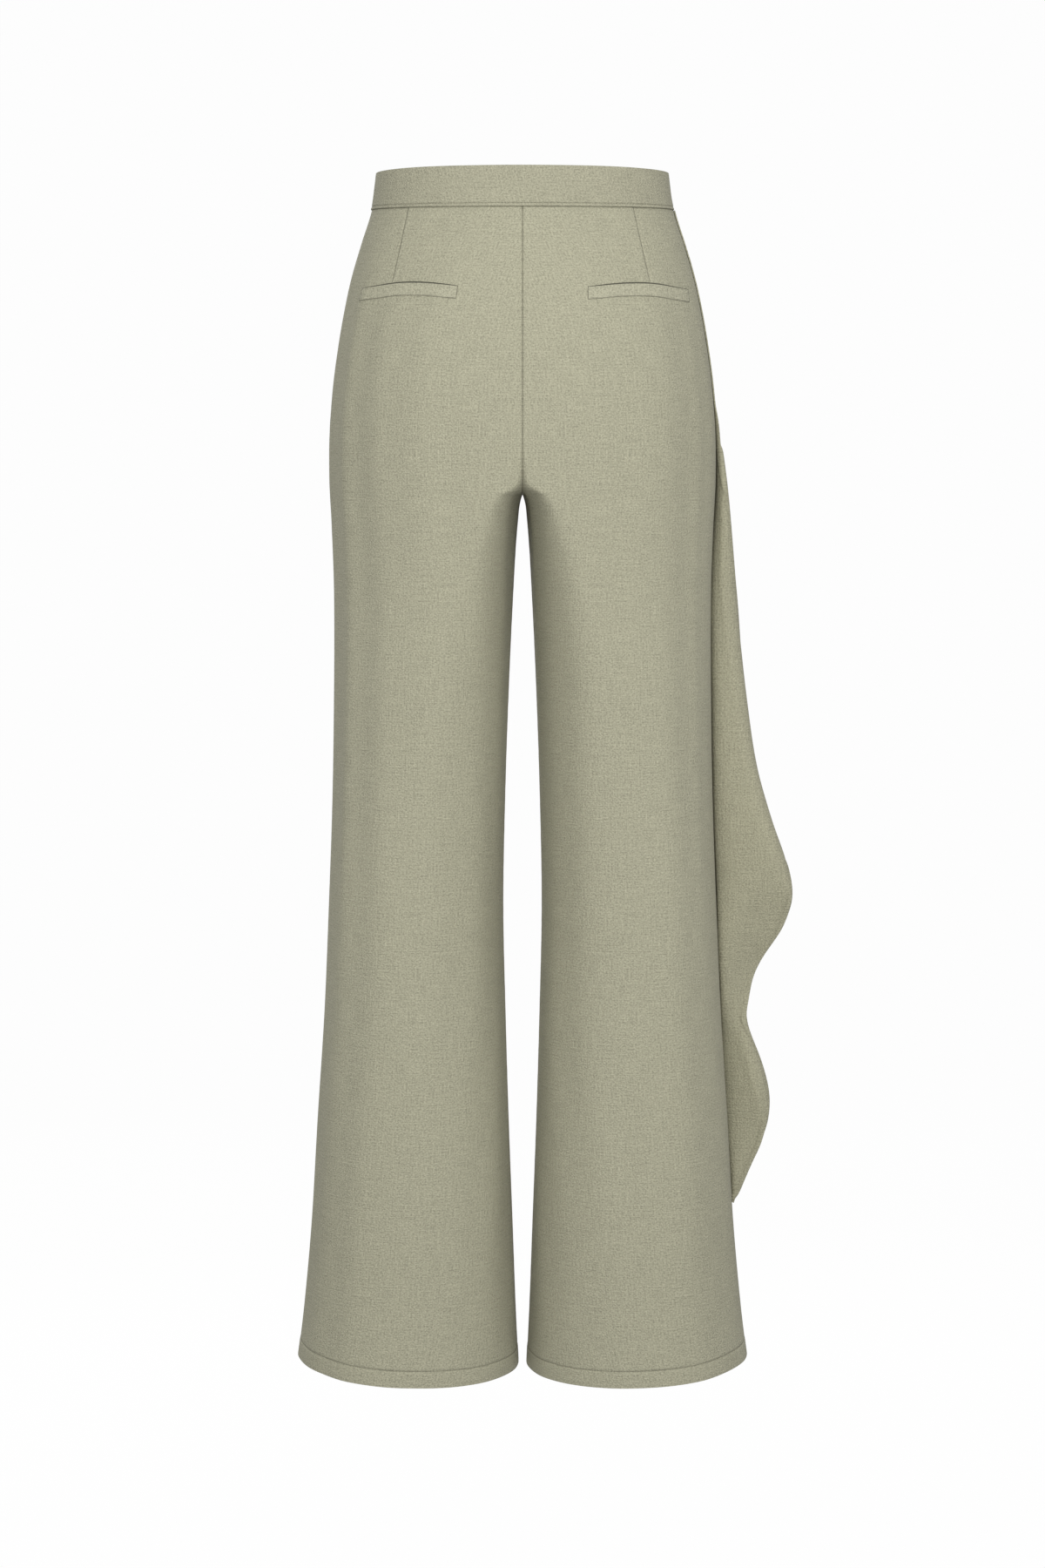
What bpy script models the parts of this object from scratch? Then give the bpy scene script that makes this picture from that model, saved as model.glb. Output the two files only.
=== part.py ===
"""Wrap trousers: high waist, wide legs, and a loose flared panel over the wearer's right leg.

Metres, +Z up. The front faces -Y and the wearer's right side is -X. The origin is the centre
of the waist at the middle of the waistband's height, and the garment hangs below it.
"""

import math

import bmesh
import bpy

MM = 0.001

# Cloth and seams
CLOTH = 1.2 * MM
TURNED_HEM = 2.4 * MM
HEM_HEIGHT = 15 * MM
SEAM_GAP = 0.3 * MM

# Waistband
BAND_WALL = 3.0 * MM
BAND_PROUD = 0.9 * MM
BAND_SIDE_HALF = 15.6 * MM
BAND_CENTRE_RISE = 1.6 * MM
BAND_CENTRE_DROP = 2.2 * MM

# Crotch and hem heights
CLEFT_TOP = -200 * MM
CROTCH = -266 * MM
HEM_MIDDLE = -1047.5 * MM
HEM_TILT = 4.5 * MM
HEM_ARCH = 2.2 * MM
ROUNDNESS = 2.2

# Back darts: where each lies between centre back and side seam, as a share of the panel
DART_PLACE = 0.52
DART_END = -81 * MM
DART_DEPTH = 0.9 * MM

# Back welts
WELT_INNER = 56 * MM
WELT_OUTER = {"left": 140 * MM, "right": 145 * MM}
WELT_TOP = -85.5 * MM
WELT_HEIGHT = 12 * MM
WELT_ARCH = 4 * MM

# Wrap panel
WRAP_GAP = 2.5 * MM
WRAP_SEWN_GAP = 0.7 * MM
WRAP_SEWN_DEPTH = 110 * MM
WRAP_LEFT = 72 * MM
WRAP_HIP = -190 * MM
WRAP_TURN = 50 * MM
WRAP_BOTTOM = -909 * MM
WRAP_TAIL = 22 * MM
WRAP_WAVES = 2.5
WRAP_WAVE_OUT = 16 * MM
WRAP_WAVE_ACROSS = 7 * MM
CURL_RADIUS = 12 * MM
CURL_MOST = math.radians(150)

CLOTH_COLOUR = (0.392, 0.376, 0.275, 1.0)
BAND_COLOUR = (0.410, 0.394, 0.290, 1.0)
WELT_COLOUR = (0.425, 0.410, 0.305, 1.0)
WRAP_COLOUR = (0.360, 0.340, 0.235, 1.0)

# The body of the garment by height. Each half is an oval about its middle, half_width out from
# the centre line at the side. Its centre side starts at inner, past the centre line (-) above
# the crotch, where the two halves meet, and rolls up to full depth over the width roll. back
# and front are its depths.
SECTION_COLUMNS = ("height", "half_width", "back", "front", "inner", "roll", "middle")
SECTIONS = (
    (20, 127.5, 92, 92, -10, 10, 0),
    (-16, 132.8, 96, 96, -10, 10, 0),
    (-45, 142.0, 101, 100, -10, 10, 0),
    (-76, 151.2, 107, 103, -10, 10, 0),
    (-106, 157.8, 112, 105, -10, 10, 0),
    (-137, 163.2, 116, 106, -10, 10, 0),
    (-168, 167.5, 118, 106, -11, 11, 0),
    (-198, 170.2, 118.5, 106, -13, 13, 0),
    (-214, 171.1, 118, 105.5, -13.5, 14.5, 0),
    (-229, 171.5, 117.3, 105, -14.5, 17, 0.5),
    (-250, 171.5, 116, 104, -13, 19.5, 2),
    (-259, 171.3, 115.3, 103.6, -9, 20.5, 3.4),
    (-266, 171.0, 114.5, 103, 0, 23, 5),
    (-291, 169.7, 112, 101, 4.2, 34, 12),
    (-353, 167.8, 105, 98, 8.2, 53, 32),
    (-446, 168.3, 98, 95, 12.5, 71, 62),
    (-540, 170.2, 93, 91, 15.6, 77, 86),
    (-634, 173.8, 90, 89, 17.2, 78.3, 95.5),
    (-729, 178.1, 89, 88, 15.3, 81.4, 96.7),
    (-824, 184.5, 90, 89, 12.6, 85.9, 98.5),
    (-920, 190.5, 92, 91, 9.1, 90.7, 99.8),
    (-1000, 198.0, 94, 93, 6.2, 95.9, 102.1),
    (-1055, 205.0, 96, 95, 3.6, 100.7, 104.3),
)

# The wrap panel's free side by height: how far out it reaches, how far in front of the side
# seam it lies at its reach (fold) and where it leaves the leg (root), and how much of it curls
# forward past its reach. It has two lobes, and hangs straight where each returns inward.
FLARE_COLUMNS = ("height", "reach", "fold", "root", "curl")
FLARES = (
    (-190, 172.6, -0.3, -0.3, 0),
    (-214, 176.5, -3, -5, 0.5),
    (-229, 178.2, -5, -8, 1.5),
    (-260, 182.2, -6, -10, 4.5),
    (-291, 185.5, -7, -12, 11),
    (-354, 191.4, -8, -13, 22),
    (-448, 202.0, -9, -10, 32),
    (-510, 211.0, -9, -9, 38),
    (-558, 224.6, -8, -9, 40),
    (-590, 236.6, -8, -10, 30),
    (-613, 242.0, -11, -10, 16),
    (-630, 243.2, -17, -9, 4),
    (-653, 237.0, -27, -8, 0),
    (-685, 216.7, -32, -8, 0),
    (-703, 208.0, -29, -9, 0),
    (-735, 201.8, -20, -15, 0),
    (-750, 204.8, -16, -20, 6),
    (-780, 216.5, -12, -21, 18),
    (-808, 223.6, -12, -21, 20),
    (-828, 223.1, -15, -20, 8),
    (-844, 219.3, -20, -19, 0),
    (-876, 206.8, -25, -18, 0),
    (-909, 191.9, -22, -18, 0),
)


def smooth_step(low, high, value):
    share = min(max((value - low) / (high - low), 0.0), 1.0)
    return share * share * (3 - 2 * share)


def mix(first, second, share):
    return first + (second - first) * share


def table_value(rows, height, column):
    """One column of a table at a height, along a smooth curve through its rows."""
    level = height / MM
    if level >= rows[0][0]:
        return rows[0][column] * MM
    if level <= rows[-1][0]:
        return rows[-1][column] * MM
    place = next(i for i in range(len(rows) - 1) if rows[i + 1][0] <= level)
    before = rows[max(place - 1, 0)]
    upper = rows[place]
    lower = rows[place + 1]
    after = rows[min(place + 2, len(rows) - 1)]
    span = lower[0] - upper[0]
    share = (level - upper[0]) / span
    slope_up = (lower[column] - before[column]) / (lower[0] - before[0]) * span
    slope_low = (after[column] - upper[column]) / (after[0] - upper[0]) * span
    value = (
        (1 + 2 * share) * (1 - share) ** 2 * upper[column]
        + share * (1 - share) ** 2 * slope_up
        + share**2 * (3 - 2 * share) * lower[column]
        + share**2 * (share - 1) * slope_low
    )
    return value * MM


def body_size(height, name):
    return table_value(SECTIONS, height, SECTION_COLUMNS.index(name))


def flare_size(height, name):
    return table_value(FLARES, height, FLARE_COLUMNS.index(name))


def oval(place):
    """How much of an oval's depth is left at a place from its middle (0) to its end (1)."""
    return (1 - min(max(place, 0.0), 1.0) ** ROUNDNESS) ** (1 / ROUNDNESS)


def oval_place(angle):
    return max(math.cos(angle), 0.0) ** (2 / ROUNDNESS)


def dart_dip(share, height):
    """The shallow trough along a back dart, deepest at the waist and nothing at its point."""
    top = -BAND_SIDE_HALF
    length = min(max((height - DART_END) / (top - DART_END), 0.0), 1.0)
    return DART_DEPTH * min(1.0, 2 * length) * (1.0 if share == DART_PLACE else 0.0)


def body_point(share, height, face, proud=0.0):
    """The outer surface of one half, from centre or inseam (0) to side seam (1).

    The half is on +X. face is "back" or "front", and proud moves the point out.
    """
    middle = body_size(height, "middle")
    out = body_size(height, "half_width") - middle + proud
    roll = body_size(height, "roll") + proud
    top = max(body_size(height, "inner") + body_size(height, "roll"), 0.0)
    turn = top / body_size(height, "half_width")
    if share < turn:
        first = math.acos(min(top / roll, 1.0) ** (ROUNDNESS / 2))
        x = top - roll * oval_place(mix(first, math.radians(90), share / turn))
    else:
        last = math.acos(min(max(top - middle, 0.0) / out, 1.0) ** (ROUNDNESS / 2))
        x = middle + out * oval_place(last * (1 - share) / (1 - turn))
    depth = body_size(height, face) + proud
    return max(x, 0.0), depth * oval((x - middle) / out) * oval((top - x) / roll)


def share_at(x, height, face):
    """Where on a half's surface a distance from the centre line falls, by halving."""
    low, high = 0.0, 1.0
    for _ in range(30):
        middle = (low + high) / 2
        if body_point(middle, height, face)[0] < x:
            low = middle
        else:
            high = middle
    return (low + high) / 2


def band_seam(share):
    """The height of the seam under the waistband, a little lower at the centre."""
    return -BAND_SIDE_HALF - BAND_CENTRE_DROP * math.cos(math.radians(90) * share)


def band_top(share):
    return BAND_SIDE_HALF + BAND_CENTRE_RISE * math.cos(math.radians(90) * share)


def hem_height(share):
    """The hem's height: highest at the side seam, and lowest between it and the inseam."""
    tilt = HEM_TILT * math.cos(math.radians(180) * share)
    return HEM_MIDDLE - tilt + HEM_ARCH * math.cos(math.radians(360) * share)


def leg_rows():
    """Heights of a leg panel's rows, closest where the cleft turns under at the crotch."""
    torso_rows, cleft_rows, leg_count = 5, 7, 14
    seam = -BAND_SIDE_HALF
    rows = [mix(seam, CLEFT_TOP, i / torso_rows) for i in range(torso_rows)]
    rows += [
        mix(CLEFT_TOP, CROTCH, math.sin(math.radians(90) * i / cleft_rows))
        for i in range(cleft_rows)
    ]
    hem_top = HEM_MIDDLE + HEM_HEIGHT
    rows += [mix(CROTCH, hem_top, (i / leg_count) ** 1.25) for i in range(leg_count + 1)]
    rows += [hem_top - 0.5 * MM, HEM_MIDDLE]
    return rows


def new_material(name, colour, roughness):
    material = bpy.data.materials.new(name)
    material.use_nodes = True
    surface = material.node_tree.nodes["Principled BSDF"]
    surface.inputs["Base Color"].default_value = colour
    surface.inputs["Roughness"].default_value = roughness
    surface.inputs["Metallic"].default_value = 0.0
    material.diffuse_color = colour
    return material


def sheet(name, columns, rows, point, outward, material, collection, wall, thick_from=None):
    """A cloth panel: a grid whose points a function places, given a wall on its inner side.

    point(i, j) gives the place of column i and row j. Rows from thick_from on get the full
    wall, and the rest get the cloth's own, where wall is a turned hem's.
    """
    mesh = bmesh.new()
    bmesh.ops.create_grid(mesh, x_segments=columns, y_segments=rows, size=0.5)
    layer = mesh.verts.layers.deform.verify()
    for vertex in mesh.verts:
        i = round((vertex.co.x + 0.5) * columns)
        j = round((vertex.co.y + 0.5) * rows)
        vertex.co = point(i, j)
        is_hem = thick_from is not None and j >= thick_from
        vertex[layer][0] = 1.0 if thick_from is None or is_hem else CLOTH / wall
    centre = mesh.faces[:][len(mesh.faces) // 2]
    centre.normal_update()
    if centre.normal.dot(outward(centre.calc_center_median())) < 0:
        bmesh.ops.reverse_faces(mesh, faces=mesh.faces[:])
    data = bpy.data.meshes.new(name)
    mesh.to_mesh(data)
    mesh.free()
    data.materials.append(material)
    panel = bpy.data.objects.new(name, data)
    collection.objects.link(panel)
    panel.vertex_groups.new(name="wall")
    solidify = panel.modifiers.new("cloth_wall", "SOLIDIFY")
    solidify.thickness = wall
    solidify.offset = -1.0
    solidify.vertex_group = "wall"
    solidify.use_even_offset = False
    return panel


def make_leg_panel(name, side, face, material, collection):
    """One of the four leg panels, from the waistband's seam to the hem."""
    rows = leg_rows()
    dart_half = 0.018
    shares = [0, 0.05, 0.11, 0.19, 0.28, 0.37, 0.46, 0.55, 0.64, 0.73, 0.82, 0.9, 0.96, 1]
    if face == "back":
        near = [s for s in shares if abs(s - DART_PLACE) > 2 * dart_half]
        dart = [DART_PLACE - dart_half, DART_PLACE, DART_PLACE + dart_half]
        shares = sorted(near + dart)
    facing = 1 if face == "back" else -1
    half_gap = SEAM_GAP / 2
    fade_end = -80 * MM

    def place(i, j):
        share = shares[i]
        height = rows[j]
        seam_shift = band_seam(share) - SEAM_GAP - rows[0]
        fade = min(max((height - fade_end) / (rows[0] - fade_end), 0.0), 1.0)
        hem_shift = hem_height(share) - HEM_MIDDLE
        hem_fade = smooth_step(0.3, 1.0, height / HEM_MIDDLE)
        level = height + seam_shift * fade + hem_shift * hem_fade
        x, y = body_point(share, level, face)
        if face == "back":
            y -= dart_dip(share, level)
        x = max(x, half_gap)
        y = max(y, half_gap)
        return (side * x, facing * y, level)

    def outward(centre):
        middle = (abs(centre.x) - body_size(centre.z, "half_width") / 2) * side
        return centre.__class__((middle, centre.y, 0))

    return sheet(
        name,
        len(shares) - 1,
        len(rows) - 1,
        place,
        outward,
        material,
        collection,
        TURNED_HEM,
        len(rows) - 2,
    )


def make_waistband(material, collection):
    """A plain band all round, open by a closed slit over the left side seam."""
    steps = 60
    slit = SEAM_GAP / 2 / body_size(0, "half_width")
    band_rows = 2

    def place(i, j):
        turn = slit + (2 * math.pi - 2 * slit) * i / steps
        across = abs(math.cos(turn))
        share = 1 - math.acos(min(across, 1.0)) / math.radians(90)
        height = mix(band_top(share), band_seam(share), j / band_rows)
        half = body_size(height, "half_width") + BAND_PROUD
        deep = body_size(height, "back" if math.sin(turn) > 0 else "front") + BAND_PROUD
        x = math.copysign(across ** (2 / ROUNDNESS), math.cos(turn)) * half
        y = math.copysign(abs(math.sin(turn)) ** (2 / ROUNDNESS), math.sin(turn)) * deep
        return (x, y, height)

    def outward(centre):
        return centre.__class__((centre.x, centre.y, 0))

    return sheet(
        "waistband", steps, band_rows, place, outward, material, collection, BAND_WALL
    )


def make_welt(word, side, material, collection):
    """A single welt, laid on the back panel just under its dart, arched along its edges."""
    columns, rows = 12, 2
    lift = 0.4 * MM

    def place(i, j):
        along = i / columns
        x = mix(WELT_INNER, WELT_OUTER[word], along)
        arch = WELT_ARCH * math.sin(math.pi * along) ** 1.5
        height = WELT_TOP + arch - WELT_HEIGHT * j / rows
        share = share_at(x, height, "back")
        px, py = body_point(share, height, "back", CLOTH + lift)
        return (side * px, py, height)

    def outward(centre):
        return centre.__class__((centre.x, centre.y * 2, 0))

    name = f"welt_{word}"
    return sheet(name, columns, rows, place, outward, material, collection, CLOTH)


def wrap_proud(height, share, side):
    """How far the wrap's outer face stands off the fronts: least where it is sewn on."""
    gap = mix(WRAP_SEWN_GAP, WRAP_GAP, smooth_step(0.0, WRAP_SEWN_DEPTH, -BAND_SIDE_HALF - height))
    if side < 0:
        sewn = 1 - smooth_step(-WRAP_HIP, -WRAP_HIP + 60 * MM, -height)
        gap = mix(gap, WRAP_SEWN_GAP, sewn * smooth_step(0.6, 0.95, share))
    return CLOTH + gap


def front_cover(height):
    """The line that a taut sheet takes over both fronts, from the left side to the right.

    Points are (x, y) with the wearer's left first, moved out to the wrap's outer face.
    """
    count = 60
    points = []
    for side in (1, -1):
        run = range(count, -1, -1) if side == 1 else range(count + 1)
        for i in run:
            share = i / count
            x, y = body_point(share, height, "front", wrap_proud(height, share, side))
            points.append((side * x, -y))
    cover = []
    for point in points:
        while len(cover) > 1 and turns_in(cover[-2], cover[-1], point):
            cover.pop()
        cover.append(point)
    return cover


def turns_in(first, second, third):
    """True where the middle point lies behind the straight line between its neighbours."""
    ax, ay = second[0] - first[0], second[1] - first[1]
    bx, by = third[0] - first[0], third[1] - first[1]
    return ax * by - ay * bx >= 0


def cut_line(line, axis, value, rising):
    """The line before and after one coordinate passes a value, both with that point."""
    for i, (first, second) in enumerate(zip(line, line[1:])):
        low, high = (first, second) if rising else (second, first)
        if low[axis] < value <= high[axis]:
            share = (value - first[axis]) / (second[axis] - first[axis])
            point = (mix(first[0], second[0], share), mix(first[1], second[1], share))
            return line[: i + 1] + [point], [point] + line[i + 1 :]
    return line, line[-1:]


def wrap_fall(height):
    """How far down the wrap a height is, from 0 at the waistband to 1 at its lowest corner."""
    return min(max((-BAND_SIDE_HALF - height) / (-BAND_SIDE_HALF - WRAP_BOTTOM), 0.0), 1.0)


def wrap_left_edge(height):
    """How far to the wearer's left the wrap's front edge lies: it falls to the right, in waves."""
    fall = wrap_fall(height)
    end = WRAP_TAIL - flare_size(WRAP_BOTTOM, "reach")
    wave = math.sin(2 * math.pi * WRAP_WAVES * fall) * math.sin(math.pi * fall)
    return mix(WRAP_LEFT, end, fall**0.92) + WRAP_WAVE_ACROSS * wave


def wrap_section(height):
    """One level section of the wrap panel, as two lines that meet in front of the side seam.

    The first lies over the fronts from the free front edge. The second turns round the side
    and, below the hip, flares out to its reach and curls forward to the panel's free side.
    """
    root = flare_size(height, "root")
    _, line = cut_line(front_cover(height), 0, wrap_left_edge(height), False)
    over, line = cut_line(line, 1, -WRAP_TURN, True)
    side, _ = cut_line(line, 1, root, True)
    curl = flare_size(height, "curl")
    radius = min(CURL_RADIUS, 0.6 * curl)
    fold = flare_size(height, "fold")
    reach = flare_size(height, "reach") - min(CLOTH, curl)
    if height > WRAP_HIP or reach - radius < 0.3 * MM - side[-1][0]:
        return over, side
    side = soften(side[:-3] + [side[-1], (radius - reach, fold)], 3)
    if curl > 1 * MM:
        turn = min(curl / radius, CURL_MOST)
        steps = 8
        for i in range(1, steps + 1):
            angle = turn * i / steps
            x = radius - reach - radius * math.sin(angle)
            side.append((x, fold - radius + radius * math.cos(angle)))
        rest = curl - radius * turn
        x, y = side[-1]
        side.append((x - rest * math.cos(turn), y - rest * math.sin(turn)))
    return over, side


def soften(line, passes):
    """The line with its corners cut, once for each pass."""
    for _ in range(passes):
        cut = [line[0]]
        for first, second in zip(line, line[1:]):
            for share in (0.25, 0.75):
                cut.append((mix(first[0], second[0], share), mix(first[1], second[1], share)))
        cut.append(line[-1])
        line = cut
    return line


def spread(line, count):
    """Points spaced evenly along a line, both ends included."""
    lengths = [0.0]
    for first, second in zip(line, line[1:]):
        lengths.append(lengths[-1] + math.dist(first, second))
    points = []
    k = 1
    for i in range(count + 1):
        target = lengths[-1] * i / count
        while k < len(lengths) - 1 and lengths[k] < target:
            k += 1
        share = (target - lengths[k - 1]) / max(lengths[k] - lengths[k - 1], 1e-9)
        start, end = line[k - 1], line[k]
        points.append((mix(start[0], end[0], share), mix(start[1], end[1], share)))
    return points


def make_wrap_panel(material, collection):
    """The wrap, from the waistband's seam down, with shallow waves along its front edge."""
    over_columns, side_columns, hip_rows, free_rows = 16, 17, 6, 36
    columns, rows = over_columns + side_columns, hip_rows + free_rows
    top = -BAND_SIDE_HALF - SEAM_GAP
    half = body_size(top, "half_width")
    fade_end = -80 * MM
    heights = [mix(top, WRAP_HIP, j / hip_rows) for j in range(hip_rows)]
    heights += [mix(WRAP_HIP, WRAP_BOTTOM, j / free_rows) for j in range(free_rows + 1)]
    sections = []
    for height in heights:
        over, side = wrap_section(height)
        sections.append(spread(over, over_columns) + spread(side, side_columns)[1:])

    def place(i, j):
        x, y = sections[j][i]
        fall = wrap_fall(heights[j])
        wave = math.sin(math.pi * 2 * WRAP_WAVES * fall) ** 2 * math.sin(math.pi * fall) ** 0.5
        lift = WRAP_WAVE_OUT * wave * (1 - smooth_step(0.0, 0.35, i / columns))
        dip = BAND_CENTRE_DROP * math.sqrt(max(1 - (x / half) ** 2, 0.0))
        fade = min(max((heights[j] - fade_end) / (top - fade_end), 0.0), 1.0)
        return (x, y - lift, heights[j] - dip * fade)

    def outward(centre):
        return centre.__class__((0, -1, 0))

    return sheet(
        "wrap_panel", columns, rows, place, outward, material, collection, CLOTH
    )


def main():
    for old in list(bpy.data.objects):
        bpy.data.objects.remove(old)
    garment = bpy.data.collections.new("wrap_trousers")
    bpy.context.scene.collection.children.link(garment)
    cloth = new_material("cloth", CLOTH_COLOUR, 0.85)
    for face in ("back", "front"):
        for word, side in (("left", 1), ("right", -1)):
            make_leg_panel(f"{face}_{word}", side, face, cloth, garment)
    make_waistband(new_material("waistband_cloth", BAND_COLOUR, 0.85), garment)
    welt = new_material("welt_cloth", WELT_COLOUR, 0.85)
    for word, side in (("left", 1), ("right", -1)):
        make_welt(word, side, welt, garment)
    make_wrap_panel(new_material("wrap_cloth", WRAP_COLOUR, 0.85), garment)


main()
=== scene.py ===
# Wrap trousers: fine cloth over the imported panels, with their seams, hems, stitches and studio.
# Metres, +Z up, the front faces -Y and the wearer's left is +X.

import math

import bmesh
import bpy
import numpy as np
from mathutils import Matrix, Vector


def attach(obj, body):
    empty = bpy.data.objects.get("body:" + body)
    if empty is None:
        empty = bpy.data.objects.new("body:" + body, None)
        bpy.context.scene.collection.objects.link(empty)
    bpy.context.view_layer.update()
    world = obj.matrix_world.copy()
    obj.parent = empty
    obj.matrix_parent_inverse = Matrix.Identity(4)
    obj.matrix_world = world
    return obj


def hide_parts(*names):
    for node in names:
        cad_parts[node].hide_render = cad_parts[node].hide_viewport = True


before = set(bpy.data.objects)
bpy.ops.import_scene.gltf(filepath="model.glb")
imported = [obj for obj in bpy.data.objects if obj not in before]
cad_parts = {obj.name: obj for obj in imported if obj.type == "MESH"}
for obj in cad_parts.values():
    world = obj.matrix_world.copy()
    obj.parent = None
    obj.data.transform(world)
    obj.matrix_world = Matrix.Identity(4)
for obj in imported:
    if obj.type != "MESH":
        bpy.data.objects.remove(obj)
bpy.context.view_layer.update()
mm = 0.001

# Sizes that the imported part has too, in millimetres
cut = {
    "roundness": 2.2,
    "cloth": 1.2,
    "hemWall": 2.4,
    "hem": 15,
    "bandHalf": 15.6,
    "bandRise": 1.6,
    "bandDrop": 2.2,
    "bandProud": 0.9,
    "bandWall": 3.0,
    "cleft": -200,
    "crotch": -266,
    "hemMiddle": -1047.5,
    "hemTilt": 4.5,
    "hemArch": 2.2,
}
body = {
    "columns": ("height", "halfWidth", "back", "front", "inner", "roll", "middle"),
    "rows": (
        (20, 127.5, 92, 92, -10, 10, 0),
        (-16, 132.8, 96, 96, -10, 10, 0),
        (-45, 142.0, 101, 100, -10, 10, 0),
        (-76, 151.2, 107, 103, -10, 10, 0),
        (-106, 157.8, 112, 105, -10, 10, 0),
        (-137, 163.2, 116, 106, -10, 10, 0),
        (-168, 167.5, 118, 106, -11, 11, 0),
        (-198, 170.2, 118.5, 106, -13, 13, 0),
        (-214, 171.1, 118, 105.5, -13.5, 14.5, 0),
        (-229, 171.5, 117.3, 105, -14.5, 17, 0.5),
        (-250, 171.5, 116, 104, -13, 19.5, 2),
        (-259, 171.3, 115.3, 103.6, -9, 20.5, 3.4),
        (-266, 171.0, 114.5, 103, 0, 23, 5),
        (-291, 169.7, 112, 101, 4.2, 34, 12),
        (-353, 167.8, 105, 98, 8.2, 53, 32),
        (-446, 168.3, 98, 95, 12.5, 71, 62),
        (-540, 170.2, 93, 91, 15.6, 77, 86),
        (-634, 173.8, 90, 89, 17.2, 78.3, 95.5),
        (-729, 178.1, 89, 88, 15.3, 81.4, 96.7),
        (-824, 184.5, 90, 89, 12.6, 85.9, 98.5),
        (-920, 190.5, 92, 91, 9.1, 90.7, 99.8),
        (-1000, 198.0, 94, 93, 6.2, 95.9, 102.1),
        (-1055, 205.0, 96, 95, 3.6, 100.7, 104.3),
    ),
}
flare = {
    "columns": ("height", "reach", "fold", "root", "curl"),
    "rows": (
        (-190, 172.6, -0.3, -0.3, 0),
        (-214, 176.5, -3, -5, 0.5),
        (-229, 178.2, -5, -8, 1.5),
        (-260, 182.2, -6, -10, 4.5),
        (-291, 185.5, -7, -12, 11),
        (-354, 191.4, -8, -13, 22),
        (-448, 202.0, -9, -10, 32),
        (-510, 211.0, -9, -9, 38),
        (-558, 224.6, -8, -9, 40),
        (-590, 236.6, -8, -10, 30),
        (-613, 242.0, -11, -10, 16),
        (-630, 243.2, -17, -9, 4),
        (-653, 237.0, -27, -8, 0),
        (-685, 216.7, -32, -8, 0),
        (-703, 208.0, -29, -9, 0),
        (-735, 201.8, -20, -15, 0),
        (-750, 204.8, -16, -20, 6),
        (-780, 216.5, -12, -21, 18),
        (-808, 223.6, -12, -21, 20),
        (-828, 223.1, -15, -20, 8),
        (-844, 219.3, -20, -19, 0),
        (-876, 206.8, -25, -18, 0),
        (-909, 191.9, -22, -18, 0),
    ),
}


def smoothStep(low, high, value):
    share = np.clip((value - low) / (high - low), 0, 1)
    return share * share * (3 - 2 * share)


def mix(first, second, share):
    return first + (second - first) * share


def bell(distance, width):
    return np.exp(-((distance / width) ** 2))


# One column of a table at each height, along a smooth curve through its rows
def tableValue(table, height, column):
    rows = np.array(table["rows"], float)
    levels = rows[:, 0]
    values = rows[:, table["columns"].index(column)]
    ahead = np.append(np.arange(1, len(rows)), len(rows) - 1)
    behind = np.insert(np.arange(len(rows) - 1), 0, 0)
    slopes = (values[ahead] - values[behind]) / (levels[ahead] - levels[behind])
    level = np.clip(np.asarray(height, float) / mm, levels[-1], levels[0])
    place = np.clip(np.searchsorted(-levels, -level, side="right") - 1, 0, len(rows) - 2)
    span = levels[place + 1] - levels[place]
    s = (level - levels[place]) / span
    return mm * (
        (1 + 2 * s) * (1 - s) ** 2 * values[place]
        + s * (1 - s) ** 2 * slopes[place] * span
        + s * s * (3 - 2 * s) * values[place + 1]
        + s * s * (s - 1) * slopes[place + 1] * span
    )


# How much of an oval's depth is left at a place from its middle (0) to its end (1)
def oval(place):
    return (1 - np.clip(place, 0, 1) ** cut["roundness"]) ** (1 / cut["roundness"])


def ovalPlace(angle):
    return np.maximum(np.cos(angle), 0) ** (2 / cut["roundness"])


# A point of one half's outer surface, from centre or inseam (0) to side seam (1)
def bodyPoint(share, height, face, proud=0.0):
    half = tableValue(body, height, "halfWidth")
    middle = tableValue(body, height, "middle")
    inner = tableValue(body, height, "inner")
    out = half - middle + proud
    roll = tableValue(body, height, "roll") + proud
    top = np.maximum(inner + tableValue(body, height, "roll"), 0)
    turn = top / half
    power = cut["roundness"] / 2
    first = np.arccos(np.clip(top / roll, 0, 1) ** power)
    last = np.arccos(np.clip((top - middle) / out, 0, 1) ** power)
    rolled = share / np.maximum(turn, 1e-9)
    near = top - roll * ovalPlace(mix(first, np.pi / 2, np.clip(rolled, 0, 1)))
    far = middle + out * ovalPlace(last * np.clip((1 - share) / (1 - turn), 0, 1))
    x = np.where(share < turn, near, far)
    depth = tableValue(body, height, face) + proud
    return np.maximum(x, 0), depth * oval((x - middle) / out) * oval((top - x) / roll)


def bandSeam(share):
    return -mm * (cut["bandHalf"] + cut["bandDrop"] * np.cos(np.pi / 2 * share))


def bandTop(share):
    return mm * (cut["bandHalf"] + cut["bandRise"] * np.cos(np.pi / 2 * share))


def hemHeight(share):
    tilt = cut["hemTilt"] * np.cos(np.pi * share)
    return mm * (cut["hemMiddle"] - tilt + cut["hemArch"] * np.cos(2 * np.pi * share))


# Distance along each row of a grid of points
def rowArc(points):
    steps = np.linalg.norm(np.diff(points, axis=1), axis=2)
    return np.insert(np.cumsum(steps, axis=1), 0, 0, axis=1)


# Unit normals of a grid, turned to the side that the outward vectors point to
def gridNormals(points, outward):
    across = np.gradient(points, axis=1)
    down = np.gradient(points, axis=0)
    normals = np.cross(across, down)
    normals /= np.maximum(np.linalg.norm(normals, axis=2, keepdims=True), 1e-12)
    agree = np.sum(normals * outward, axis=2).sum()
    return normals if agree > 0 else -normals


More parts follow.
